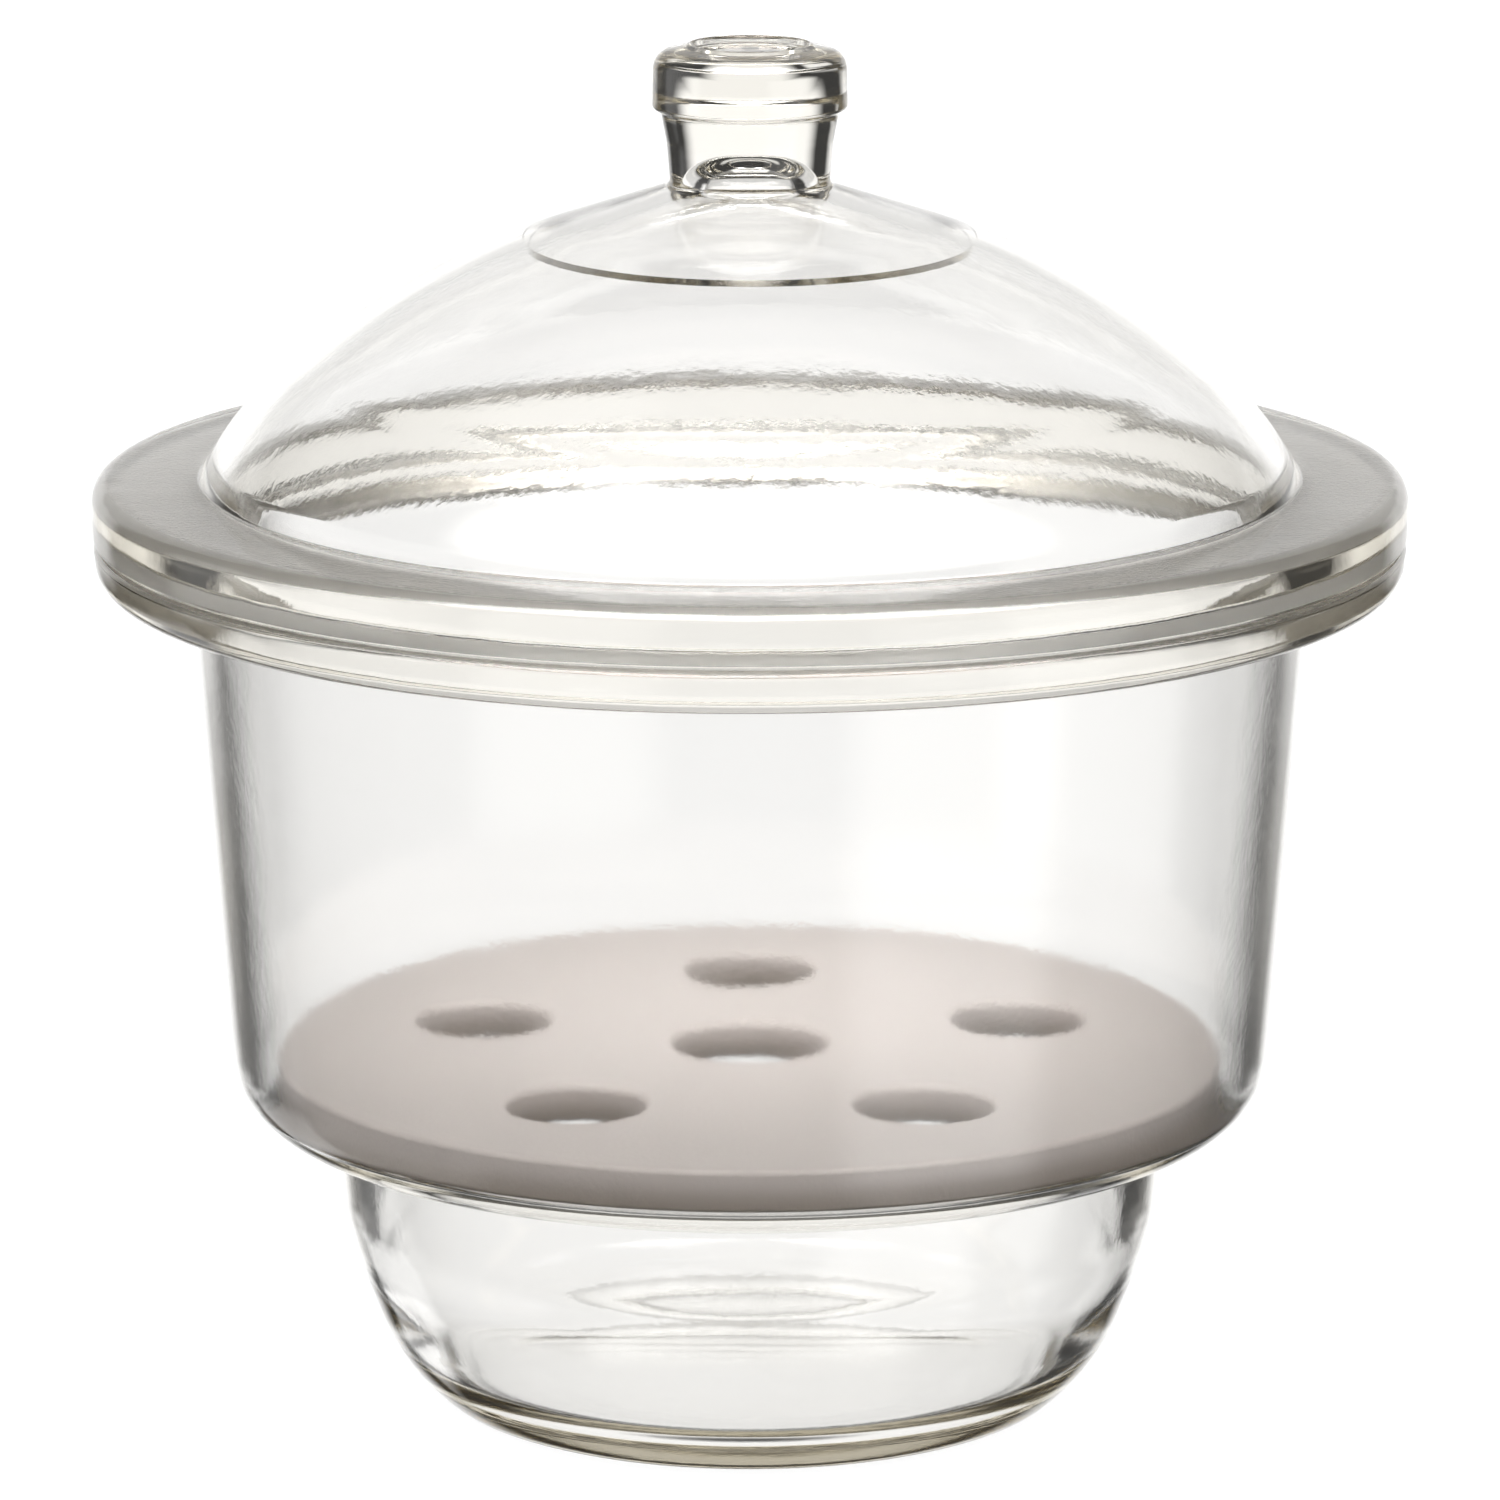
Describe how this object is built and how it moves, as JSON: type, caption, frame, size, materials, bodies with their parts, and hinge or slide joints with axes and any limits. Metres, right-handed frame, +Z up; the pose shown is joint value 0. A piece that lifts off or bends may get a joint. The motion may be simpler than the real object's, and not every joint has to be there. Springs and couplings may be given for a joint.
{
  "type": "glass desiccator",
  "caption": "Round laboratory desiccator: flanged glass bowl with a lower drying chamber, domed glass lid with a solid knob, and a loose perforated porcelain plate.",
  "frame": {"origin": "on the vessel's axis, in the plane that the foot stands on", "axes": "+Z up along the axis, from the foot to the knob; +Y towards one of the plate's ring holes"},
  "size_m": [0.267, 0.267, 0.2799],
  "materials": {
    "bowl_glass": "pressed clear soda-lime glass, slightly grey-green in the thick parts, with a finely ground upper face on the flange",
    "lid_glass": "pressed clear soda-lime glass, slightly grey-green in the thick parts, with a finely ground lower face on the flange",
    "porcelain": "matt white to warm grey porcelain, unglazed on the rim"
  },
  "bodies": {
    "bowl": {"bowl": "bowl_glass"},
    "lid": {"lid": "lid_glass"},
    "plate": {"plate": "porcelain"}
  },
  "joints": [
    {"name": "lid_lift", "type": "slide", "parent": "bowl", "child": "lid", "axis": [0, 0, 1], "range_m": [0, 0.16]},
    {"name": "plate_lift", "type": "slide", "parent": "bowl", "child": "plate", "axis": [0, 0, 1], "range_m": [0, 0.115]}
  ]
}
